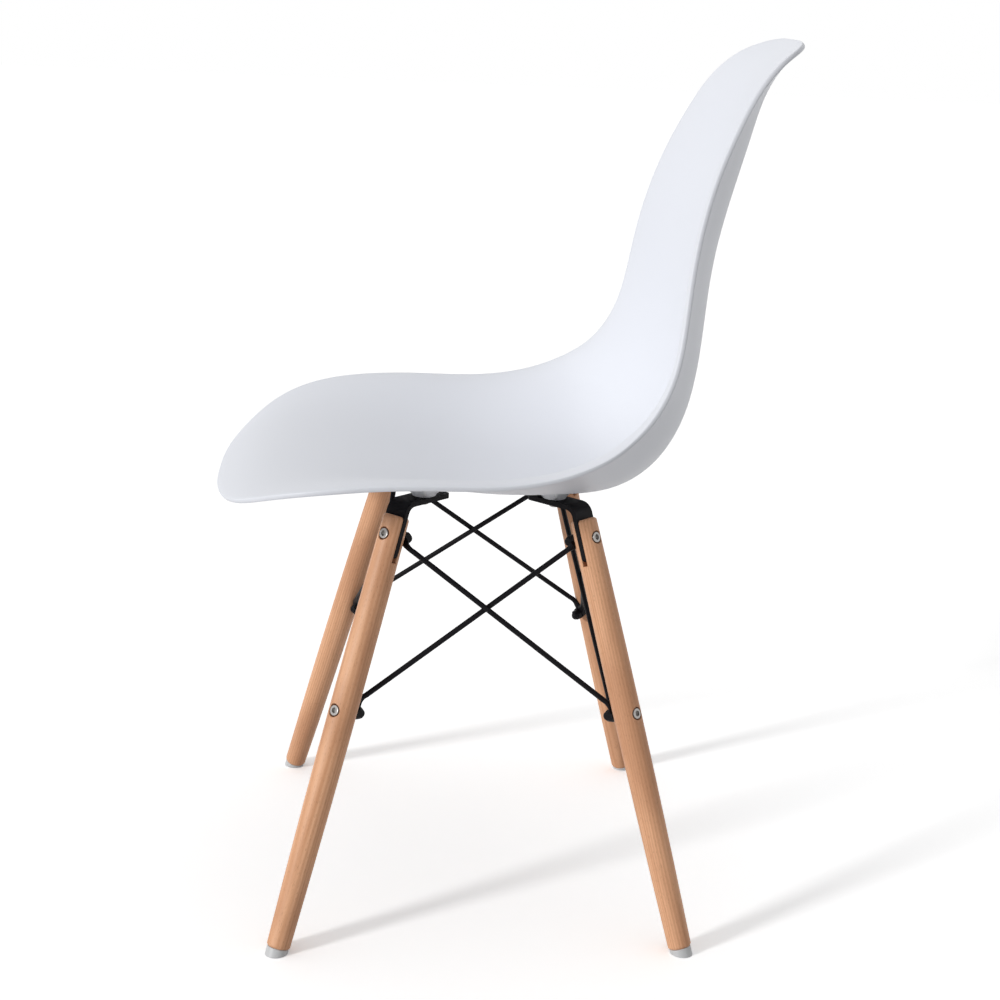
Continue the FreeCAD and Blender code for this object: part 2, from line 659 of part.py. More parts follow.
def neck(centre, out, along, corner, wire_way):
    """Flattened end that bends from the eye's plane into the round wire."""
    across = along.cross(out)
    oval = Part.Ellipse(V(0.0, 0.0, 0.0), 0.5 * NECK_W, 0.5 * EYE_T).toShape()
    ring = Part.Circle(V(0.0, 0.0, 0.0), V(0.0, 0.0, 1.0), WIRE_R).toShape()
    inside = section(oval, centre + along * (EYE_R - EYE_T), across, along)
    flat = Part.Face(inside).extrude(along * (FLAT_L - EYE_R + EYE_T))
    round_end = Part.makeLoft([
        section(oval, centre + along * FLAT_L, across, along),
        section(ring, corner, across, along + wire_way),
        section(ring, corner + wire_way * NECK_LEAD, across, wire_way),
    ], True)
    return flat.fuse(round_end)


def brace(high_corner, low_corner, layer, outside):
    """Wire from a leg's upper bolt to its neighbour's lower bolt, an eye at each end."""
    high, high_out = eye_centre(high_corner, UPPER_BOLT_AT, layer)
    low, low_out = eye_centre(low_corner, LOWER_BOLT_AT, layer)
    level = V(low.x - high.x, low.y - high.y, 0.0)
    inward = V(0.0, 0.0, 1.0).cross(level).normalize()
    if inward.dot(V(high.x + low.x, high.y + low.y, 0.0)) > 0.0:
        inward = inward * -1.0
    inward = inward * (OUTER_SHIFT if outside else OUTER_SHIFT + 2.0 * WIRE_R + CROSS_GAP)
    high_along, start = neck_start(high, high_out, low, inward)
    low_along, end = neck_start(low, low_out, high, inward)
    way = (end - start).normalize()
    run = (end - start).Length - 2.0 * NECK_LEAD
    rod = Part.makeCylinder(WIRE_R, run, start + way * NECK_LEAD, way)
    rod = rod.fuse([
        neck(high, high_out, high_along, start, way),
        neck(low, low_out, low_along, end, way * -1.0),
        Part.makeCylinder(EYE_R, EYE_T, high - high_out * (0.5 * EYE_T), high_out),
        Part.makeCylinder(EYE_R, EYE_T, low - low_out * (0.5 * EYE_T), low_out),
    ])
    for centre, out in ((high, high_out), (low, low_out)):
        rod = rod.cut(Part.makeCylinder(BOLT_HOLE_R, 2.0 * EYE_R, centre - out * EYE_R, out))
    return rod.Solids[0]


def group(shapes):
    return Part.makeCompound(shapes)


def braces():
    """Two crossed wires on each of the chair's four sides."""
    sides = {
        "left": ("front_left", "rear_left", 0),
        "right": ("front_right", "rear_right", 0),
        "front": ("front_left", "front_right", 1),
        "rear": ("rear_left", "rear_right", 1),
    }
    made = {}
    for side, (one, other, layer) in sides.items():
        one_name, other_name = [
            "_".join(word for word in corner.split("_") if word != side) for corner in (one, other)
        ]
        made["brace_%s_from_%s" % (side, one_name)] = brace(one, other, layer, True)
        made["brace_%s_from_%s" % (side, other_name)] = brace(other, one, layer, False)
    return made


def at_bosses(shape):
    """One copy of a shape at each of the four bosses."""
    copies = []
    for corner in CORNERS:
        copy = shape.copy()
        copy.translate(boss_point(corner))
        copies.append(copy)
    return group(copies)


def chair():
    """Every piece of the chair by its name."""
    pieces = {"seat_shell": seat_shell()}
    one_leg = leg()
    one_bracket = bracket()
    for corner in CORNERS:
        pieces["leg_" + corner] = on_leg(one_leg, corner)
        pieces["leg_bracket_" + corner] = under_seat(one_bracket, corner)
        pieces["foot_glide_" + corner] = glide(corner)
    pieces.update(braces())
    for name, at in (("upper", UPPER_BOLT_AT), ("lower", LOWER_BOLT_AT)):
        pieces[name + "_leg_bolts"] = group([on_leg(leg_bolt(at), c) for c in CORNERS])
        pieces[name + "_cap_nuts"] = group([on_leg(cap_nut(at), c) for c in CORNERS])
    pieces["glide_nails"] = group([on_leg(glide_nail(), c) for c in CORNERS])
    pieces["shell_threaded_inserts"] = at_bosses(threaded_insert())
    pieces["shell_screws"] = at_bosses(seat_screw())
    pieces["shell_screw_washers"] = at_bosses(washer())
    return pieces


def main():
    """Writes each piece, moved so that the origin is in the middle of the chair's box."""
    os.makedirs("parts", exist_ok=True)
    pieces = chair()
    box = pieces["seat_shell"].optimalBoundingBox()
    shift = V(0.0, -0.5 * (box.YMin + box.YMax), 0.0)
    for name, shape in pieces.items():
        shape.translate(shift)
        shape.exportStep(os.path.join("parts", name + ".step"))
        volumes = [round(solid.Volume, 1) for solid in shape.Solids]
        print(name, shape.isValid(), volumes)
    print("middle of the box", round(-shift.y, 3))


main()
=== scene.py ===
"""Dresses the moulded shell chair: its surfaces, its finishes and a plain studio.

Lengths in the lists and constants are millimetres, and MM turns them into metres. +Z is up, the
sitter faces -Y and +X is the sitter's left. Each operator makes or finishes one kind of piece.
"""

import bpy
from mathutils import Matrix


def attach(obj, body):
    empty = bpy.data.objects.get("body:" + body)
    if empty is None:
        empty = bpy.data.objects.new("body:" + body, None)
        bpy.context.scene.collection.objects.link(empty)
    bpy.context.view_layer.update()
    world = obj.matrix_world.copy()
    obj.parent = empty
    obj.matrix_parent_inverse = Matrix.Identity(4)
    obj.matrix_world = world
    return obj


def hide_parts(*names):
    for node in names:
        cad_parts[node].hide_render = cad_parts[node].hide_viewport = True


bl_info = {
    "name": "Moulded Shell Chair",
    "version": (1, 0, 0),
    "blender": (4, 5, 0),
    "location": "3D View > Sidebar > Shell Chair",
    "description": "Dresses a moulded shell chair on beech legs and sets a plain studio",
    "category": "Object",
}

import math

import bmesh
import bpy
import numpy as np
from mathutils import Matrix, Vector

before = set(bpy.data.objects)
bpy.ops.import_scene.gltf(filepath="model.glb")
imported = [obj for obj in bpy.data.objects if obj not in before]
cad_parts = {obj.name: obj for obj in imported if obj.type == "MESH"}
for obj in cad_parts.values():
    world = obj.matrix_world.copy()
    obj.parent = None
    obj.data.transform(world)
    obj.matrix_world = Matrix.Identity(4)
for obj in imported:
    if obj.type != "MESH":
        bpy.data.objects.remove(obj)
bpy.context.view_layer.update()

MM = 0.001

# Middle line of the sitter's side, from the front edge to the top (y, z)
CENTRE_LINE = [
    (-251.5, 396.5), (-228.0, 409.0), (-172.0, 420.0), (-75.5, 413.0), (-4.0, 403.0),
    (63.5, 400.5), (112.0, 405.0), (150.0, 424.5), (183.0, 472.5), (194.5, 540.5),
    (201.0, 611.0), (229.0, 729.0), (253.0, 797.0), (270.0, 815.5),
]
# Half width, and the rise of the sides above the middle line, at shares of that line
WIDTH_SHARES = [0.0, 0.12, 0.25, 0.38, 0.48, 0.58, 0.70, 0.85, 1.0]
HALF_WIDTHS = [219.5, 230.5, 232.0, 225.0, 215.0, 203.0, 181.0, 143.5, 126.5]
RISE_SHARES = [0.0, 0.12, 0.25, 0.38, 0.43, 0.48, 0.53, 0.58, 0.64, 0.70, 0.85, 1.0]
SIDE_RISES = [-5.0, 15.5, 35.0, 53.1, 63.9, 68.4, 66.8, 59.9, 47.6, 42.5, 38.5, 4.5]
RISE_REACH = 50.0        # half the length of line whose run sets the rise's direction, at mid line
SEAT_HOLLOW = 3.4        # power of the rise across the seat: higher is flatter in the middle
BACK_HOLLOW = 2.0        # power of the rise across the back
SEAT_LIP = 1.07          # how far the seat's edges roll outwards again, as a share of the rise
BACK_LIP = 0.41
LIP_POWER = 8.0          # power of that roll: higher keeps it nearer the edge
SEAT_END = 0.42          # share of the middle line where the seat's section starts to turn
TURN_SHARE = 0.20        # share of the middle line in which it becomes the back's
FRONT_CORNER = 136.0     # length of the front corners along the middle line
FRONT_ROUND = 2.55       # power of their outline
TOP_CORNER = 184.0
TOP_ROUND = 3.25
RIM_BULGE = 0.45         # how far the rim is rounded, as a share of half the wall
NORMAL_STEP = 0.5        # half the length over which a run of the skin is taken

# The skin's mesh: a middle patch, a ring round it and the rim
CORE_SHARE = 0.5         # share of the half width that the middle patch reaches
CORE_START = 0.22        # shares of the middle line where it starts and ends
CORE_END = 0.80
FRONT_SPLIT = 0.83       # shares of the half width where the outline's ends meet its sides
TOP_SPLIT = 0.86
SIDE_STEPS = 96
END_STEPS = 60
RING_STEPS = 30
RIM_STEPS = 12
SEAM_JOIN = 0.002        # points of two grids nearer than this become one

# The ends of the legs' axes, before the chair is moved over its origin
FOOT_X = 209.0
FOOT_Y = 184.0
TOP_X = 112.0
TOP_Y = 85.0
LEG_TOP_Z = 383.0

# The bosses under the seat and their gussets
PLATE_TOP_Z = 396.4      # the bracket's plate, which the boss stands on
PLATE_SCREW = 35.0       # from the leg's top in to the plate's screw
BOSS_R = 11.0
BOSS_DRAFT = 3.0         # degrees
BOSS_HOLE_R = 5.45
BOSS_EDGE = 0.5          # rounding of the boss's lower edge
BOSS_FLARE = 2.2         # how far the boss spreads where it runs into the wall
FLARE_POWER = 8
BOSS_SINK = 1.5          # how far bosses and gussets reach into the wall
BOSS_TURNS = 64
BOSS_STEPS = 16
BOSS_EDGE_STEPS = 4
GUSSET_COUNT = 4
GUSSET_REACH = 8.0
GUSSET_ROOT = 2.0        # how far a gusset reaches into its boss
GUSSET_T = 2.5
GUSSET_DROP = 1.0        # from the boss's face up to the gusset
GUSSET_LEAST = 0.2       # least height of a gusset's outer end, which is inside the wall
SHARP_TURN = 40.0        # degrees an edge of theirs turns before it looks sharp

# The part of the underside over the bosses, in shares of the middle line and the half width
UNDER_START = 0.10
UNDER_END = 0.50
UNDER_ACROSS = 0.7
UNDER_POINTS = 240

# The wood's noises: how fine they are across the leg, across it again and along it, per metre
WANDER_SCALE = (9.0, 9.0, 1.6)
FIBRE_SCALE = (2400.0, 2400.0, 26.0)
STREAK_SCALE = (260.0, 260.0, 5.0)
PATCH_SCALE = (38.0, 38.0, 9.0)
FLECK_SCALE = (2100.0, 2100.0, 300.0)
PATCH_STOPS = [(0.44, 0.0), (0.66, 0.55)]
FLECK_STOPS = [(0.66, 0.0), (0.78, 1.0)]
RING_PITCH = 2600.0      # angle of the rings' wave per metre from the tree's middle
RING_WANDER = 22.0       # how far the rings stray, as an angle of that wave
TREE_MIDDLE = 0.055      # from the leg's axis to the tree's middle, in metres
LEG_SEED = 0.37          # how far apart in the wood two legs are cut
DARK_SHARE = 0.36        # share of the dark colour, and what moves it
RING_SHARE = 0.22
FIBRE_SHARE = 0.46
STREAK_SHARE = 0.95
FLECK_SHARE = 0.38

CORNERS = {
    "front_left": (1, -1),
    "rear_left": (1, 1),
    "front_right": (-1, -1),
    "rear_right": (-1, 1),
}


class ShellSizes(bpy.types.PropertyGroup):
    """Sizes of the shell's wall and grain"""

    wall: bpy.props.FloatProperty(
        name="Wall", description="Thickness of the moulded wall",
        default=4.5 * MM, min=2.0 * MM, unit="LENGTH")
    grain_depth: bpy.props.FloatProperty(
        name="Grain depth", description="Height of the moulded surface's fine grain",
        default=0.03 * MM, min=0.0, unit="LENGTH")


class FinishColours(bpy.types.PropertyGroup):
    """Colours of the finishes"""

    shell: bpy.props.FloatVectorProperty(
        name="Shell", description="Colour of the moulded plastic",
        default=(0.790, 0.808, 0.860), subtype="COLOR")
    shell_cloud: bpy.props.FloatVectorProperty(
        name="Shell clouds", description="Colour that wide faint clouds of the plastic lean to",
        default=(0.740, 0.770, 0.830), subtype="COLOR")
    beech_light: bpy.props.FloatVectorProperty(
        name="Light beech", description="Colour of the wood between its growth rings",
        default=(0.860, 0.485, 0.285), subtype="COLOR")
    beech_dark: bpy.props.FloatVectorProperty(
        name="Dark beech", description="Colour of the growth rings",
        default=(0.600, 0.285, 0.145), subtype="COLOR")
    beech_red: bpy.props.FloatVectorProperty(
        name="Red beech", description="Colour of the wood's redder patches",
        default=(0.520, 0.245, 0.130), subtype="COLOR")
    beech_fleck: bpy.props.FloatVectorProperty(
        name="Beech flecks", description="Colour of the short dark rays in the wood",
        default=(0.330, 0.140, 0.070), subtype="COLOR")
    iron: bpy.props.FloatVectorProperty(
        name="Black coat", description="Colour of the coat on brackets, braces and nuts",
        default=(0.0030, 0.0026, 0.0042), subtype="COLOR")
    iron_cloud: bpy.props.FloatVectorProperty(
        name="Coat clouds", description="Colour that clouds of the black coat lean to",
        default=(0.0060, 0.0055, 0.0070), subtype="COLOR")
    zinc: bpy.props.FloatVectorProperty(
        name="Zinc", description="Colour of the plated bolts, screws and washers",
        default=(0.400, 0.385, 0.370), subtype="COLOR")
    brass: bpy.props.FloatVectorProperty(
        name="Insert", description="Colour of the threaded inserts",
        default=(0.700, 0.550, 0.280), subtype="COLOR")
    glide: bpy.props.FloatVectorProperty(
        name="Glide", description="Colour of the plastic foot glides",
        default=(0.780, 0.790, 0.800), subtype="COLOR")
    glide_scuff: bpy.props.FloatVectorProperty(
        name="Glide scuffs", description="Colour of the glides' scuffs",
        default=(0.620, 0.620, 0.620), subtype="COLOR")


class StudioSettings(bpy.types.PropertyGroup):
    """Camera, floor and light"""

    camera_place: bpy.props.FloatVectorProperty(
        name="Camera", description="Where the camera stands",
        default=(1.758933, -0.132339, 0.859351), subtype="TRANSLATION", unit="LENGTH")
    camera_yaw: bpy.props.FloatProperty(
        name="Yaw", description="Turn of the camera from looking straight along -X",
        default=0.0904180, subtype="ANGLE", unit="ROTATION")
    camera_pitch: bpy.props.FloatProperty(
        name="Pitch", description="How far the camera looks down",
        default=0.2414401, subtype="ANGLE", unit="ROTATION")
    camera_roll: bpy.props.FloatProperty(
        name="Roll", description="Tilt of the camera about its own line of sight",
        default=0.0447541, subtype="ANGLE", unit="ROTATION")
    camera_focal: bpy.props.FloatProperty(
        name="Focal share", description="Focal length as a share of the picture's width",
        default=1.8896982, min=0.1)
    camera_shift: bpy.props.FloatVectorProperty(
        name="Shift", description="Shift of the picture, as shares of its width",
        default=(-0.0241796, -0.0556419), size=2)
    floor_half: bpy.props.FloatProperty(
        name="Floor", description="Half the width of the floor",
        default=14.0, min=1.0, unit="LENGTH")
    floor_shown: bpy.props.FloatProperty(
        name="Floor as shown", description="How strongly the floor shows the light on it",
        default=1.44, min=0.0)
    floor_glow: bpy.props.FloatProperty(
        name="Floor glow", description="Light of its own that the floor shows",
        default=0.06, min=0.0)
    floor_bounce: bpy.props.FloatProperty(
        name="Floor bounce", description="Share of the light that the floor sends to the chair",
        default=0.68, min=0.0, max=1.0)
    sun_strength: bpy.props.FloatProperty(
        name="Key light", description="Strength of the low key light", default=1.85, min=0.0)
    sun_softness: bpy.props.FloatProperty(
        name="Key softness", description="Angle over which the key light is spread",
        default=math.radians(9.0), subtype="ANGLE", unit="ROTATION")
    sun_height: bpy.props.FloatProperty(
        name="Key height", description="Angle of the key light above the floor",
        default=math.radians(16.5), subtype="ANGLE", unit="ROTATION")
    sun_side: bpy.props.FloatProperty(
        name="Key side", description="Turn of the key light from the front to the sitter's left",
        default=math.radians(31.0), subtype="ANGLE", unit="ROTATION")
    sky_top: bpy.props.FloatProperty(
        name="Light above", description="Strength of the light from above", default=0.80, min=0.0)
    sky_shade: bpy.props.FloatProperty(
        name="Shade beside", description="How much weaker the light is on the sitter's left",
        default=0.24, min=0.0)
    sky_side: bpy.props.FloatProperty(
        name="Light around", description="Strength of the light from the sides",
        default=0.22, min=0.0)


def natural_spline(stations, values):
    """Smooth curve through values at stations.

    Between two stations it is the straight line plus a cubic. The cubics' bends at the stations
    solve one linear system, so that slope and bend run on, and they are nil at both ends.
    """
    at = np.asarray(stations, float)
    value = np.asarray(values, float)
    gaps = np.diff(at)
    slopes = np.diff(value) / gaps
    inner = np.arange(1, len(at) - 1)
    system = np.diag(np.concatenate([[1.0], 2.0 * (gaps[:-1] + gaps[1:]), [1.0]]))
    system[inner, inner - 1] = gaps[:-1]
    system[inner, inner + 1] = gaps[1:]
    bends = np.linalg.solve(system, np.concatenate([[0.0], 6.0 * np.diff(slopes), [0.0]]))

    def evaluate(x):
        i = np.clip(np.searchsorted(at, x) - 1, 0, len(gaps) - 1)
        gap = gaps[i]
        left = (at[i + 1] - x) / gap
        right = (x - at[i]) / gap
        curved = (left ** 3 - left) * bends[i] + (right ** 3 - right) * bends[i + 1]
        return left * value[i] + right * value[i + 1] + curved * gap * gap / 6.0

    return evaluate


LINE = np.array(CENTRE_LINE) * MM
LINE_STATIONS = np.concatenate([[0.0], np.cumsum(np.hypot(*np.diff(LINE, axis=0).T))])
LINE_LENGTH = LINE_STATIONS[-1]
LINE_Y = natural_spline(LINE_STATIONS, LINE[:, 0])
LINE_Z = natural_spline(LINE_STATIONS, LINE[:, 1])
WIDTH_AT = natural_spline(np.array(WIDTH_SHARES) * LINE_LENGTH, np.array(HALF_WIDTHS) * MM)
RISE_AT = natural_spline(np.array(RISE_SHARES) * LINE_LENGTH, np.array(SIDE_RISES) * MM)


def skin_point(along, across):
    """Points of the sitter's side; across is 0 on the middle line and 1 at the full half width.

    x is across times the half width. y and z are the middle line's, moved square to a chord of
    that line by the rise times (1 + lip) across^hollow - lip across^8.
    """
    share = along / LINE_LENGTH
    reach = (NORMAL_STEP + RISE_REACH * 4.0 * share * (1.0 - share)) * MM
    run_y = LINE_Y(along + reach) - LINE_Y(along - reach)
    run_z = LINE_Z(along + reach) - LINE_Z(along - reach)
    run = np.hypot(run_y, run_z)
    turn = np.clip((share - SEAT_END) / TURN_SHARE, 0.0, 1.0)
    turn = turn * turn * (3.0 - 2.0 * turn)
    hollow = SEAT_HOLLOW + (BACK_HOLLOW - SEAT_HOLLOW) * turn
    lip = SEAT_LIP + (BACK_LIP - SEAT_LIP) * turn
    out = np.abs(across)
    rise = RISE_AT(along) * ((1.0 + lip) * out ** hollow - lip * out ** LIP_POWER)
    return np.stack([
        across * WIDTH_AT(along),
        LINE_Y(along) - rise * run_z / run,
        LINE_Z(along) + rise * run_y / run,
    ], axis=-1)


def unit(vectors):
    """The vectors, each one unit long."""
    return vectors / np.linalg.norm(vectors, axis=-1, keepdims=True)


def skin_normal(along, across):
    """Unit normals of the sitter's side: the cross product of its two runs."""
    step = NORMAL_STEP * MM
    share = step / WIDTH_AT(along)
    forward = skin_point(along + step, across) - skin_point(along - step, across)
    sideways = skin_point(along, across + share) - skin_point(along, across - share)
    return unit(np.cross(sideways, forward))


def end_edge(corner, power, across):
    """How far an end's edge lies from the end of the middle line: a superellipse."""
    return corner * MM * (1.0 - (1.0 - np.abs(across) ** power) ** (1.0 / power))


def side_edge(along):
    """Share of the half width that the outline reaches: the product of two superellipses."""
    front = np.clip(1.0 - along / (FRONT_CORNER * MM), 0.0, 1.0)
    top = np.clip(1.0 - (LINE_LENGTH - along) / (TOP_CORNER * MM), 0.0, 1.0)
    front_share = (1.0 - front ** FRONT_ROUND) ** (1.0 / FRONT_ROUND)
    top_share = (1.0 - top ** TOP_ROUND) ** (1.0 / TOP_ROUND)
    return front_share * top_share


def eased(start, end, steps):
    """Stations from start to end, closer together at both ends, by half a cosine wave."""
    return start + 0.5 * (end - start) * (1.0 - np.cos(np.linspace(0.0, math.pi, steps + 1)))


def closed_loop(front, left, top, right):
    """One closed row of (along, across) from four stretches that meet end to end."""
    return np.concatenate([stretch[:-1] for stretch in (front, left, top, right)])


def pairs(along, across):
    """Rows of (along, across), a single value standing for a whole row."""
    return np.stack(np.broadcast_arrays(along, across), axis=-1).astype(float)


def rim_loop():
    """The outline: along the front, up the left side, across the top and down the right."""
    front_across = np.linspace(-FRONT_SPLIT, FRONT_SPLIT, END_STEPS + 1)
    top_across = np.linspace(TOP_SPLIT, -TOP_SPLIT, END_STEPS + 1)
    front_along = end_edge(FRONT_CORNER, FRONT_ROUND, front_across)
    top_along = LINE_LENGTH - end_edge(TOP_CORNER, TOP_ROUND, top_across)
    side = eased(front_along[0], top_along[0], SIDE_STEPS)
    return closed_loop(
        pairs(front_along, front_across), pairs(side, side_edge(side)),
        pairs(top_along, top_across), pairs(side, -side_edge(side))[::-1])


def core_loop():
    """The edge of the skin's middle patch, in step with the outline."""
    across = np.linspace(-CORE_SHARE, CORE_SHARE, END_STEPS + 1)
    along = eased(CORE_START * LINE_LENGTH, CORE_END * LINE_LENGTH, SIDE_STEPS)
    return closed_loop(
        pairs(along[0], across), pairs(along, CORE_SHARE),
        pairs(along[-1], -across), pairs(along, -CORE_SHARE)[::-1])


def grid_faces(rows, columns, closed):
    """Corner numbers of the quads between the points of a grid, its columns closed or open."""
    steps = columns if closed else columns - 1
    row, column = np.meshgrid(np.arange(rows - 1), np.arange(steps), indexing="ij")
    after = (column + 1) % columns
    corners = [row * columns + column, row * columns + after,
               (row + 1) * columns + after, (row + 1) * columns + column]
    return np.stack(corners, axis=-1).reshape(-1, 4)


def grids_to_mesh(name, grids):
    """One object from pairs of a grid's points and whether its columns close.

    Its seams are joined and its faces look outwards.
    """
    points = []
    faces = []
    start = 0
    for grid, closed in grids:
        rows, columns = grid.shape[:2]
        points.append(grid.reshape(-1, 3))
        faces.append(grid_faces(rows, columns, closed) + start)
        start += rows * columns
    mesh = bpy.data.meshes.new(name)
    mesh.from_pydata(np.concatenate(points), [], np.concatenate(faces).tolist())
    tidy = bmesh.new()
    tidy.from_mesh(mesh)
    bmesh.ops.remove_doubles(tidy, verts=tidy.verts, dist=SEAM_JOIN * MM)
    bmesh.ops.recalc_face_normals(tidy, faces=tidy.faces)
    tidy.to_mesh(mesh)
    tidy.free()
    mesh.polygons.foreach_set("use_smooth", np.ones(len(mesh.polygons), bool))
    piece = bpy.data.objects.new(name, mesh)
    bpy.context.scene.collection.objects.link(piece)
    return piece


def finish_piece(piece, material):
    """Gives a new piece its body and its material."""
    piece.data.materials.clear()
    piece.data.materials.append(material)
    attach(piece, "root")


class Value:
    """A shader socket that adds Math nodes when it is used in an expression."""

    def __init__(self, tree, socket):
        self.tree = tree
        self.socket = socket

    def maths(self, operation, *values):
        """A Math node of some values, this one not among them by itself."""
        sockets = dict(enumerate(values))
        return self.tree.node("ShaderNodeMath", {"operation": operation}, sockets)

    def beside(self, output):
        """Another output of this value's node."""
        return Value(self.tree, self.socket.node.outputs[output])

    def __add__(self, other):
        return self.maths("ADD", self, other)

    def __radd__(self, other):
        return self.maths("ADD", other, self)

    def __sub__(self, other):
        return self.maths("SUBTRACT", self, other)

    def __rsub__(self, other):
        return self.maths("SUBTRACT", other, self)

    def __mul__(self, other):
        return self.maths("MULTIPLY", self, other)

    def __rmul__(self, other):
        return self.maths("MULTIPLY", other, self)

    def __pow__(self, other):
        return self.maths("POWER", self, other)


class Tree:
    """The nodes of a material or the world."""

    def __init__(self, owner):
        owner.use_nodes = True
        self.nodes = owner.node_tree.nodes
        self.links = owner.node_tree.links
        self.nodes.clear()

    def node(self, kind, settings=None, sockets=None, output=0):
        """Adds a node: first its settings, then the values or links of its sockets."""
        made = self.nodes.new(kind)
        for name, value in (settings or {}).items():
            if name == "stops":
                self.set_stops(made.color_ramp, value)
            else:
                setattr(made, name, value)
        for name, value in (sockets or {}).items():
            if isinstance(value, Value):
                self.links.new(value.socket, made.inputs[name])
            else:
                made.inputs[name].default_value = value
        return Value(self, made.outputs[output]) if len(made.outputs) else None

    def set_stops(self, ramp, stops):
        """Sets a ramp's stops from pairs of place and level."""
        while len(ramp.elements) > len(stops):
            ramp.elements.remove(ramp.elements[-1])
        while len(ramp.elements) < len(stops):
            ramp.elements.new(0.5)
        for element, (place, level) in zip(ramp.elements, stops):
            element.position = place
            element.color = grey(level)

    def object_place(self):
        """The place on the piece, in metres from the chair's origin."""
        return self.node("ShaderNodeTexCoord", output="Object")

    def stretched(self, place, scale):
        """The place with each of its three numbers scaled."""
        return self.node("ShaderNodeVectorMath", {"operation": "MULTIPLY"},
                         {0: place, 1: scale})

    def noise(self, place, scale=1.0, detail=2.0, roughness=0.5):
        """Noise with some patches per metre; detail adds finer layers of it."""
        return self.node("ShaderNodeTexNoise", {},
                         {"Vector": place, "Scale": scale, "Detail": detail,
                          "Roughness": roughness})

    def ramp(self, value, stops):
        """A level read from pairs of place and level."""
        return self.node("ShaderNodeValToRGB", {"stops": stops}, {"Fac": value})

    def mix(self, share, first, second):
        """A colour between two colours."""
        return self.node("ShaderNodeMix", {"data_type": "RGBA"},
                         {0: share, 6: first, 7: second}, output=2)

    def bump(self, height, distance, strength):
        """The surface's normals, tilted as if it stood up by height times distance."""
        return self.node("ShaderNodeBump", {},
                         {"Height": height, "Distance": distance, "Strength": strength})

    def finish(self, shader):
        """Makes a shader the material's surface."""
        self.node("ShaderNodeOutputMaterial", {}, {"Surface": shader})


def colour(values):
    """A shader's colour from three parts."""
    return (*values, 1.0)


def grey(level):
    """A shader's colour of three equal parts."""
    return (level, level, level, 1.0)


def shell_plastic():
    """Satin moulded plastic with a fine even grain and a faint, wide unevenness."""
    material = bpy.data.materials.new("shell_plastic")
    tree = Tree(material)
    place = tree.object_place()
    colours = bpy.context.scene.finish_colours
    cloud = tree.noise(place, scale=9.0, detail=3.0)
    grain = tree.noise(place, scale=900.0, roughness=0.6)
    waves = tree.noise(place, scale=28.0, detail=1.0)
    shade = tree.mix(cloud * 0.10, colour(colours.shell), colour(colours.shell_cloud))
    rough = 0.40 + 0.06 * grain + 0.06 * cloud
    height = grain + 6.0 * waves
    normal = tree.bump(height, bpy.context.scene.shell_sizes.grain_depth, strength=0.6)
    tree.finish(tree.node("ShaderNodeBsdfPrincipled", {}, {
        "Base Color": shade, "Roughness": rough, "Normal": normal,
        "IOR": 1.49, "Specular IOR Level": 0.42,
    }))
    return material


def leg_frame(corner):
    """A leg's foot on the floor, and its three directions: its bolts' way, across it and up."""
    side, end = CORNERS[corner]
    shift = Vector((0.0, origin_shift(), 0.0))
    foot = Vector((side * FOOT_X, end * FOOT_Y, 0.0)) * MM + shift
    top = Vector((side * TOP_X, end * TOP_Y, LEG_TOP_Z)) * MM + shift
    up = (top - foot).normalized()
    outward = Vector((foot.x - top.x, foot.y - top.y, 0.0)).normalized()
    out = (outward - up * outward.dot(up)).normalized()
    return foot, out, up.cross(out), up


def beech(corner):
    """Lacquered beech, its grain along the leg.

    Growth rings are a sine of the distance from the tree's middle, which lies beside the leg.
    Fibres, streaks, redder patches and short dark flecks are noises drawn out along the leg.
    """
    material = bpy.data.materials.new("beech_" + corner)
    tree = Tree(material)
    colours = bpy.context.scene.finish_colours
    foot, out, side, up = leg_frame(corner)
    turn = Matrix((out, side, up)).transposed().to_euler()
    place = tree.node("ShaderNodeMapping", {"vector_type": "TEXTURE"},
                      {"Vector": tree.object_place(), "Location": foot, "Rotation": turn})
    seed = LEG_SEED * (1 + list(CORNERS).index(corner))
    cut = (TREE_MIDDLE + 0.01 * seed, 0.03 * seed, seed)
    in_tree = tree.node("ShaderNodeVectorMath", {"operation": "ADD"}, {0: place, 1: cut})
    wander = tree.noise(tree.stretched(in_tree, WANDER_SCALE))
    x = tree.node("ShaderNodeSeparateXYZ", {}, {0: in_tree})
    y = x.beside(1)
    turns = (x * x + y * y) ** 0.5 * RING_PITCH + wander * RING_WANDER
    rings = turns.maths("SINE", turns)
    fibres = tree.noise(tree.stretched(in_tree, FIBRE_SCALE), detail=3.0, roughness=0.65)
    streaks = tree.noise(tree.stretched(in_tree, STREAK_SCALE))
    patches = tree.noise(tree.stretched(in_tree, PATCH_SCALE))
    rays = tree.noise(tree.stretched(in_tree, FLECK_SCALE), detail=0.0)
    flecks = tree.ramp(rays, FLECK_STOPS)
    share = DARK_SHARE + RING_SHARE * rings
    share = share + FIBRE_SHARE * (fibres - 0.5) + STREAK_SHARE * (streaks - 0.5)
    wood = tree.mix(share, colour(colours.beech_light), colour(colours.beech_dark))
    wood = tree.mix(tree.ramp(patches, PATCH_STOPS), wood, colour(colours.beech_red))
    wood = tree.mix(flecks * FLECK_SHARE, wood, colour(colours.beech_fleck))
    rough = 0.42 + 0.16 * fibres
    normal = tree.bump(fibres - 0.6 * flecks, 0.04 * MM, strength=0.5)
    tree.finish(tree.node("ShaderNodeBsdfPrincipled", {}, {
        "Base Color": wood, "Roughness": rough, "Normal": normal,
        "Coat Weight": 0.08, "Coat Roughness": 0.35, "Specular IOR Level": 0.25,
    }))
    return material


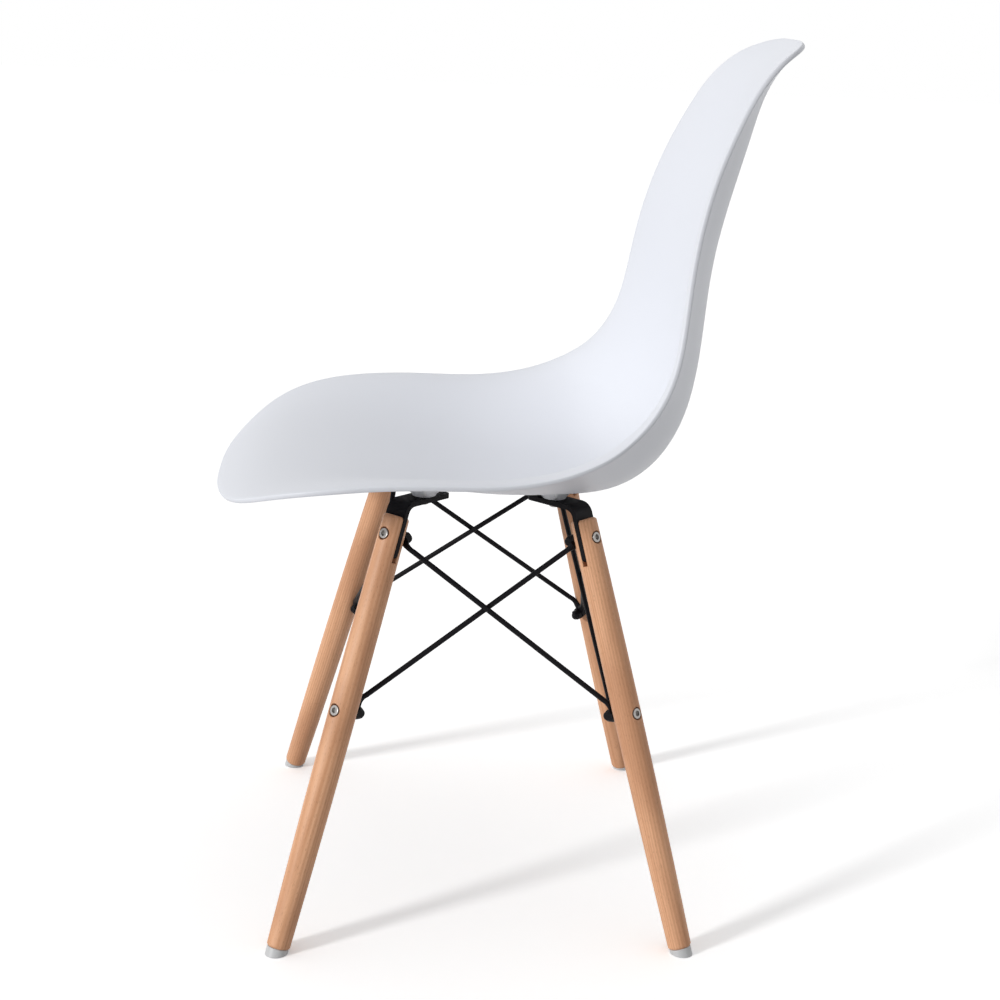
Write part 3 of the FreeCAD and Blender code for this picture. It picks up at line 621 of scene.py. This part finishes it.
def black_coat():
    """Black powder coat: fine orange peel, slightly uneven gloss."""
    material = bpy.data.materials.new("black_steel")
    tree = Tree(material)
    place = tree.object_place()
    colours = bpy.context.scene.finish_colours
    peel = tree.noise(place, scale=1300.0, roughness=0.6)
    cloud = tree.noise(place, scale=60.0)
    shade = tree.mix(cloud * 0.5, colour(colours.iron), colour(colours.iron_cloud))
    normal = tree.bump(peel, 0.05 * MM, strength=0.5)
    tree.finish(tree.node("ShaderNodeBsdfPrincipled", {}, {
        "Base Color": shade, "Roughness": 0.46 + 0.12 * cloud, "Normal": normal,
        "Specular IOR Level": 0.12,
    }))
    return material


def plated_metal(name, base, rough):
    """Plated or plain metal with fine tool marks and small changes of colour and gloss."""
    material = bpy.data.materials.new(name)
    tree = Tree(material)
    place = tree.object_place()
    marks = tree.noise(tree.stretched(place, (900.0, 900.0, 5200.0)))
    cloud = tree.noise(place, scale=180.0)
    darker = [0.72 * part for part in base]
    shade = tree.mix(cloud * 0.4, colour(base), colour(darker))
    normal = tree.bump(marks, 0.02 * MM, strength=0.4)
    tree.finish(tree.node("ShaderNodeBsdfPrincipled", {}, {
        "Base Color": shade, "Metallic": 1.0, "Roughness": rough + 0.16 * cloud,
        "Normal": normal,
    }))
    return material


def glide_plastic():
    """Milky plastic that lets some light through, scuffed by the floor."""
    material = bpy.data.materials.new("glide_plastic")
    tree = Tree(material)
    place = tree.object_place()
    colours = bpy.context.scene.finish_colours
    scuffs = tree.noise(place, scale=700.0, detail=3.0, roughness=0.7)
    shade = tree.mix(scuffs * 0.25, colour(colours.glide), colour(colours.glide_scuff))
    normal = tree.bump(scuffs, 0.03 * MM, strength=0.5)
    tree.finish(tree.node("ShaderNodeBsdfPrincipled", {}, {
        "Base Color": shade, "Roughness": 0.32 + 0.2 * scuffs, "Normal": normal,
        "Transmission Weight": 0.25,
    }))
    return material


def paint_node(node, material):
    """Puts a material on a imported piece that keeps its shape."""
    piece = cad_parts[node]
    for slot in piece.material_slots:
        slot.material = material


def wall_grids(wall):
    """The shell's skins and rim as grids, before the chair is moved over its origin.

    The sitter's skin is skin_point; the underside lies a wall below it along the normal. A ring
    of points runs from the middle patch to the outline on each side, and the rim between them is
    half an ellipse, as thick as the wall and a share of that deep.
    """
    rim = rim_loop()
    core = core_loop()
    shares = np.linspace(0.0, 1.0, RING_STEPS + 1)[:, None, None]
    ring = core + (rim - core) * shares
    ring_point = skin_point(ring[..., 0], ring[..., 1])
    ring_normal = skin_normal(ring[..., 0], ring[..., 1])
    edge = ring_point[-1]
    normal = ring_normal[-1]
    tangent = np.roll(edge, -1, axis=0) - np.roll(edge, 1, axis=0)
    outward = unit(np.cross(tangent, normal))
    inwards = np.sum(outward * (edge - ring_point[-2]), axis=-1, keepdims=True) < 0.0
    outward = np.where(inwards, -outward, outward)
    angles = np.linspace(0.0, math.pi, RIM_STEPS + 1)[1:-1, None, None]
    bulge = 0.5 * wall * (normal * (np.cos(angles) - 1.0) + outward * RIM_BULGE * np.sin(angles))
    under = ring_point - ring_normal * wall
    band = np.concatenate([ring_point, edge + bulge, under[::-1]])
    core_along = eased(CORE_START * LINE_LENGTH, CORE_END * LINE_LENGTH, SIDE_STEPS)[:, None]
    core_across = np.linspace(-CORE_SHARE, CORE_SHARE, END_STEPS + 1)[None, :]
    along, across = np.broadcast_arrays(core_along, core_across)
    middle = skin_point(along, across)
    middle_under = middle - skin_normal(along, across) * wall
    return [(band, True), (middle, False), (middle_under, False)]


def origin_shift():
    """How far along Y the formulas' points move, for the shell's box to be over the origin."""
    grids = wall_grids(bpy.context.scene.shell_sizes.wall)
    y = np.concatenate([grid[..., 1].ravel() for grid, closed in grids])
    return -0.5 * float(y.min() + y.max())


def underside_points():
    """A fine grid of points of the underside over the bosses, in one list."""
    along = np.linspace(UNDER_START, UNDER_END, UNDER_POINTS)[:, None] * LINE_LENGTH
    across = np.linspace(-UNDER_ACROSS, UNDER_ACROSS, UNDER_POINTS)[None, :]
    along, across = np.broadcast_arrays(along, across)
    wall = bpy.context.scene.shell_sizes.wall
    under = skin_point(along, across) - skin_normal(along, across) * wall
    return under.reshape(-1, 3) + (0.0, origin_shift(), 0.0)


def height_over(under, x, y):
    """Height of the underside over places on the floor: that of its nearest points."""
    apart = (under[:, 0] - x[:, None]) ** 2 + (under[:, 1] - y[:, None]) ** 2
    return under[np.argmin(apart, axis=1), 2]


def boss_point(corner):
    """Where a bracket's screw meets its boss: in from the leg's top, along the leg's way out."""
    side, end = CORNERS[corner]
    outward = Vector((side * (FOOT_X - TOP_X), end * (FOOT_Y - TOP_Y), 0.0)).normalized()
    top = Vector((side * TOP_X, end * TOP_Y, PLATE_TOP_Z))
    return (top - outward * PLATE_SCREW) * MM + Vector((0.0, origin_shift(), 0.0))


def boss_grid(foot, under):
    """A boss: its profile turned about the screw's axis.

    The profile runs from the screw's hole over the face, round the lower edge, and up the drafted
    side, whose radius also grows with a high power of the height where it meets the wall.
    """
    angle = np.linspace(0.0, 2.0 * math.pi, BOSS_TURNS, endpoint=False)
    share = np.linspace(0.0, 1.0, BOSS_STEPS + 1)[:, None]
    round_angle = np.linspace(0.0, 0.5 * math.pi, BOSS_EDGE_STEPS + 1)[:, None]
    draft = math.tan(math.radians(BOSS_DRAFT))
    middle_tall = height_over(under, np.array([foot.x]), np.array([foot.y]))[0] - foot.z
    top_r = BOSS_R * MM + draft * middle_tall + BOSS_FLARE * MM
    top = height_over(under, foot.x + top_r * np.cos(angle), foot.y + top_r * np.sin(angle))
    tall = top - foot.z + BOSS_SINK * MM
    side_z = share * (tall - BOSS_EDGE * MM) + BOSS_EDGE * MM
    side_r = BOSS_R * MM + draft * side_z + BOSS_FLARE * MM * share ** FLARE_POWER
    edge_r = (BOSS_R - BOSS_EDGE + BOSS_EDGE * np.sin(round_angle)) * MM + 0.0 * angle
    edge_z = BOSS_EDGE * MM * (1.0 - np.cos(round_angle)) + 0.0 * angle
    hole_r = BOSS_HOLE_R * MM * np.ones((2, BOSS_TURNS))
    hole_z = np.stack([tall, 0.0 * angle])
    radius = np.concatenate([hole_r, edge_r, side_r[1:]])
    height = np.concatenate([hole_z, edge_z, side_z[1:]])
    return np.stack([foot.x + radius * np.cos(angle), foot.y + radius * np.sin(angle),
                     foot.z + height], axis=-1)


def gusset_grid(foot, angle, under):
    """A gusset: a thin upright rib out from its boss, its lower edge slanting up outwards.

    Each ring of four points is one upright edge of the rib, from the boss to its outer end. Where
    the wall is near, the rib ends where its lower edge meets the wall.
    """
    way = np.array([math.cos(angle), math.sin(angle)])
    side = np.array([-way[1], way[0]]) * 0.5 * GUSSET_T * MM

    def at(reach):
        """Places on the floor that far out from the boss's middle, and the rib's top there."""
        x = foot.x + reach * way[0]
        y = foot.y + reach * way[1]
        return x, y, height_over(under, x, y) - foot.z + BOSS_SINK * MM

    room = at(np.array([BOSS_R + GUSSET_REACH]) * MM)[2][0] - GUSSET_DROP * MM
    run = np.array([0.0, 0.0, min(GUSSET_REACH * MM, room)])
    x, y, high = at(np.array([BOSS_R - GUSSET_ROOT, BOSS_R, BOSS_R]) * MM + run)
    low = np.minimum(GUSSET_DROP * MM + run, high - GUSSET_LEAST * MM)
    rings = []
    for i in range(len(run)):
        corners = [(side, low[i]), (-side, low[i]), (-side, high[i]), (side, high[i])]
        rings.append([(x[i] + s[0], y[i] + s[1], foot.z + z) for s, z in corners])
    middle_in = np.mean(rings[0], axis=0)
    middle_out = np.mean(rings[-1], axis=0)
    rings = [[middle_in] * 4] + rings + [[middle_out] * 4]
    return np.array(rings)


class CHAIR_OT_seat_shell(bpy.types.Operator):
    """Makes the moulded shell from its formula"""

    bl_idname = "chair.seat_shell"
    bl_label = "Seat shell"

    def execute(self, context):
        wall = context.scene.shell_sizes.wall
        shift = np.array([0.0, origin_shift(), 0.0])
        grids = [(grid + shift, closed) for grid, closed in wall_grids(wall)]
        shell = grids_to_mesh("moulded_shell", grids)
        finish_piece(shell, shell_plastic())
        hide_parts("seat_shell")
        return {"FINISHED"}


class CHAIR_OT_shell_bosses(bpy.types.Operator):
    """Makes the bosses and gussets under the seat"""

    bl_idname = "chair.shell_bosses"
    bl_label = "Shell bosses"

    def execute(self, context):
        grids = []
        under = underside_points()
        for corner in CORNERS:
            foot = boss_point(corner)
            grids.append((boss_grid(foot, under), True))
            for i in range(GUSSET_COUNT):
                angle = 2.0 * math.pi * i / GUSSET_COUNT
                grids.append((gusset_grid(foot, angle, under), True))
        bosses = grids_to_mesh("shell_bosses", grids)
        sharp_by_angle(bosses, SHARP_TURN)
        finish_piece(bosses, bpy.data.materials["shell_plastic"])
        return {"FINISHED"}


def sharp_by_angle(piece, degrees):
    """Marks the edges that turn by more than an angle as sharp, and leaves the rest smooth."""
    tidy = bmesh.new()
    tidy.from_mesh(piece.data)
    for edge in tidy.edges:
        turned = len(edge.link_faces) != 2 or edge.calc_face_angle() > math.radians(degrees)
        edge.smooth = not turned
    tidy.to_mesh(piece.data)
    tidy.free()


class CHAIR_OT_legs(bpy.types.Operator):
    """Finishes the four turned legs in beech"""

    bl_idname = "chair.legs"
    bl_label = "Legs"

    def execute(self, context):
        for corner in CORNERS:
            paint_node("leg_" + corner, beech(corner))
        return {"FINISHED"}


class CHAIR_OT_ironwork(bpy.types.Operator):
    """Finishes the brackets, the wire braces and the cap nuts in black"""

    bl_idname = "chair.ironwork"
    bl_label = "Ironwork"

    def execute(self, context):
        coat = black_coat()
        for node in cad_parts:
            if node.startswith(("leg_bracket", "brace")) or node.endswith("cap_nuts"):
                paint_node(node, coat)
        return {"FINISHED"}


class CHAIR_OT_fasteners(bpy.types.Operator):
    """Finishes the bolts, screws, washers, nails and inserts"""

    bl_idname = "chair.fasteners"
    bl_label = "Fasteners"

    def execute(self, context):
        colours = context.scene.finish_colours
        zinc = plated_metal("zinc", colours.zinc, rough=0.22)
        brass = plated_metal("insert_metal", colours.brass, rough=0.30)
        for node in ("upper_leg_bolts", "lower_leg_bolts", "shell_screws",
                     "shell_screw_washers", "glide_nails"):
            paint_node(node, zinc)
        paint_node("shell_threaded_inserts", brass)
        return {"FINISHED"}


class CHAIR_OT_glides(bpy.types.Operator):
    """Finishes the foot glides in milky plastic"""

    bl_idname = "chair.glides"
    bl_label = "Foot glides"

    def execute(self, context):
        plastic = glide_plastic()
        for corner in CORNERS:
            paint_node("foot_glide_" + corner, plastic)
        return {"FINISHED"}


def shown_rays(tree):
    """1 for rays that show the stage itself: seen straight, mirrored or through glass."""
    straight = tree.node("ShaderNodeLightPath", output="Is Camera Ray")
    mirrored = straight.beside("Is Glossy Ray")
    through = straight.beside("Is Transmission Ray")
    shown = straight.maths("MAXIMUM", straight, mirrored)
    return shown.maths("MAXIMUM", shown, through)


def floor_material(settings):
    """White floor: what the camera sees of it is nearly white and keeps the chair's shadow."""
    material = bpy.data.materials.new("stage_floor")
    tree = Tree(material)
    bright = tree.node("ShaderNodeBsdfDiffuse", {}, {"Color": grey(settings.floor_shown)})
    glow = tree.node("ShaderNodeEmission", {},
                     {"Color": grey(1.0), "Strength": settings.floor_glow})
    seen = tree.node("ShaderNodeAddShader", {}, {0: bright, 1: glow})
    plain = tree.node("ShaderNodeBsdfDiffuse", {}, {"Color": grey(settings.floor_bounce)})
    tree.finish(tree.node("ShaderNodeMixShader", {}, {0: shown_rays(tree), 1: plain, 2: seen}))
    return material


def make_floor(settings):
    """The floor, a plain square."""
    half = settings.floor_half
    mesh = bpy.data.meshes.new("stage_floor")
    mesh.from_pydata([(-half, -half, 0), (half, -half, 0), (half, half, 0), (-half, half, 0)],
                     [], [(0, 1, 2, 3)])
    floor = bpy.data.objects.new("stage_floor", mesh)
    bpy.context.scene.collection.objects.link(floor)
    floor.data.materials.append(floor_material(settings))


def make_world(settings):
    """Pale light, stronger from above and weaker from the left; the camera sees plain white."""
    world = bpy.data.worlds.new("studio")
    bpy.context.scene.world = world
    tree = Tree(world)
    ray = tree.node("ShaderNodeTexCoord", output="Generated")
    height = tree.node("ShaderNodeSeparateXYZ", {}, {0: ray}, output=2)
    lift = height.maths("MAXIMUM", height, 0.0)
    left = height.beside("X")
    shade = settings.sky_shade * left.maths("MAXIMUM", left, 0.0)
    level = settings.sky_side + (settings.sky_top - settings.sky_side) * lift - shade
    strength = level + shown_rays(tree) * (1.0 - level)
    light = tree.node("ShaderNodeBackground", {}, {"Color": grey(1.0), "Strength": strength})
    tree.node("ShaderNodeOutputWorld", {}, {"Surface": light})


def make_key(settings):
    """The key light: a low, soft sun from the front and the sitter's left."""
    data = bpy.data.lights.new("key_light", "SUN")
    data.energy = settings.sun_strength
    data.angle = settings.sun_softness
    key = bpy.data.objects.new("key_light", data)
    bpy.context.scene.collection.objects.link(key)
    level = math.cos(settings.sun_height)
    source = Vector((level * math.sin(settings.sun_side), -level * math.cos(settings.sun_side),
                     math.sin(settings.sun_height)))
    key.rotation_euler = source.to_track_quat("Z", "Y").to_euler()


def make_camera(settings):
    """The camera: turned by its yaw, pitch and roll from a level look along -X."""
    data = bpy.data.cameras.new("camera")
    data.lens = settings.camera_focal * data.sensor_width
    data.shift_x, data.shift_y = settings.camera_shift
    camera = bpy.data.objects.new("camera", data)
    bpy.context.scene.collection.objects.link(camera)
    yaw, pitch, roll = settings.camera_yaw, settings.camera_pitch, settings.camera_roll
    level = Vector((-math.cos(yaw), math.sin(yaw), 0.0))
    right = Vector((math.sin(yaw), math.cos(yaw), 0.0))
    upright = Vector((0.0, 0.0, 1.0))
    ahead = level * math.cos(pitch) - upright * math.sin(pitch)
    above = upright * math.cos(pitch) + level * math.sin(pitch)
    turned_right = right * math.cos(roll) + above * math.sin(roll)
    turned_up = above * math.cos(roll) - right * math.sin(roll)
    turn = Matrix((turned_right, turned_up, -ahead)).transposed().to_4x4()
    camera.matrix_world = Matrix.Translation(Vector(settings.camera_place)) @ turn
    bpy.context.scene.camera = camera


class CHAIR_OT_stage(bpy.types.Operator):
    """Sets the white floor, the light and the camera"""

    bl_idname = "chair.stage"
    bl_label = "Stage"

    def execute(self, context):
        settings = context.scene.studio_settings
        context.scene.view_settings.view_transform = "Standard"
        make_floor(settings)
        make_world(settings)
        make_key(settings)
        make_camera(settings)
        return {"FINISHED"}


OPERATORS = [
    CHAIR_OT_seat_shell, CHAIR_OT_shell_bosses, CHAIR_OT_legs, CHAIR_OT_ironwork,
    CHAIR_OT_fasteners, CHAIR_OT_glides, CHAIR_OT_stage,
]


class CHAIR_PT_panel(bpy.types.Panel):
    """Lists the chair's pieces and settings"""

    bl_idname = "CHAIR_PT_panel"
    bl_label = "Moulded shell chair"
    bl_space_type = "VIEW_3D"
    bl_region_type = "UI"
    bl_category = "Shell Chair"

    def draw(self, context):
        layout = self.layout
        for operator in OPERATORS:
            layout.operator(operator.bl_idname)
        for group in (context.scene.shell_sizes, context.scene.finish_colours,
                      context.scene.studio_settings):
            box = layout.box()
            for name in group.bl_rna.properties.keys():
                if name not in ("rna_type", "name"):
                    box.prop(group, name)


GROUPS = {
    "shell_sizes": ShellSizes,
    "finish_colours": FinishColours,
    "studio_settings": StudioSettings,
}


def register():
    """Adds the settings, the operators and the panel."""
    for group in GROUPS.values():
        bpy.utils.register_class(group)
    for name, group in GROUPS.items():
        setattr(bpy.types.Scene, name, bpy.props.PointerProperty(type=group))
    for operator in OPERATORS:
        bpy.utils.register_class(operator)
    bpy.utils.register_class(CHAIR_PT_panel)


def unregister():
    """Takes them away again, last first."""
    bpy.utils.unregister_class(CHAIR_PT_panel)
    for operator in reversed(OPERATORS):
        bpy.utils.unregister_class(operator)
    for name, group in GROUPS.items():
        delattr(bpy.types.Scene, name)
        bpy.utils.unregister_class(group)


def main():
    register()
    for operator in OPERATORS:
        group, name = operator.bl_idname.split(".")
        getattr(getattr(bpy.ops, group), name)()


if __name__ == "__main__":
    main()
